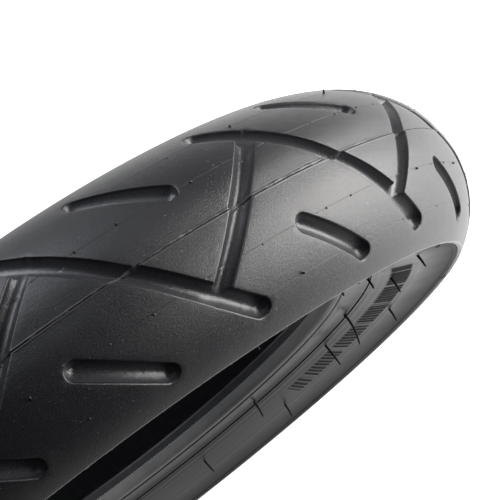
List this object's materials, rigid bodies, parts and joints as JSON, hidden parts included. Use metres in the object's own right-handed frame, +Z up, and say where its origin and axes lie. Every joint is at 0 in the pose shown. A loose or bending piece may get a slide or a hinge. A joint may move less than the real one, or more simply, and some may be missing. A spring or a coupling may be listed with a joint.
{
  "type": "motorcycle tire",
  "caption": "Tubeless bias-ply motorcycle tire with a rounded grooved tread, square-edged shoulders, sloping sidewalls and wire beads.",
  "frame": {"origin": "wheel centre: on the wheel axis, midway between the two beads", "axes": "+Y along the wheel axis to the left side, +Z up, +X forward; the tire stands upright"},
  "size_m": [0.41, 0.0806, 0.41],
  "materials": {
    "tread_rubber": "semi-gloss moulded black rubber with fine grain",
    "side_rubber": "satin moulded black rubber",
    "liner_rubber": "smooth matte black rubber",
    "chafer_cloth": "rubbered cloth with a fine cross rib",
    "inner_rubber": "cured black rubber inside the tire",
    "breaker_cord": "rubbered nylon cord strip",
    "ply_cord": "rubbered nylon cord sheet",
    "bead_wire": "bronze-plated steel wire"
  },
  "bodies": {
    "root": {"tread_cap": "tread_rubber", "tread_base": "inner_rubber", "breaker_outer": "breaker_cord", "breaker_inner": "breaker_cord", "body_ply_outer": "ply_cord", "body_ply_inner": "ply_cord", "inner_liner": "liner_rubber", "shoulder_wedge_left": "inner_rubber", "shoulder_wedge_right": "inner_rubber", "sidewall_left": "side_rubber", "sidewall_right": "side_rubber", "rim_strip_left": "side_rubber", "rim_strip_right": "side_rubber", "chafer_left": "chafer_cloth", "chafer_right": "chafer_cloth", "toe_strip_left": "liner_rubber", "toe_strip_right": "liner_rubber", "bead_filler_left": "inner_rubber", "bead_filler_right": "inner_rubber", "bead_wrap_left": "ply_cord", "bead_wrap_right": "ply_cord", "bead_insulation_left": "inner_rubber", "bead_insulation_right": "inner_rubber", "bead_wires_left": "bead_wire", "bead_wires_right": "bead_wire"}
  },
  "joints": []
}
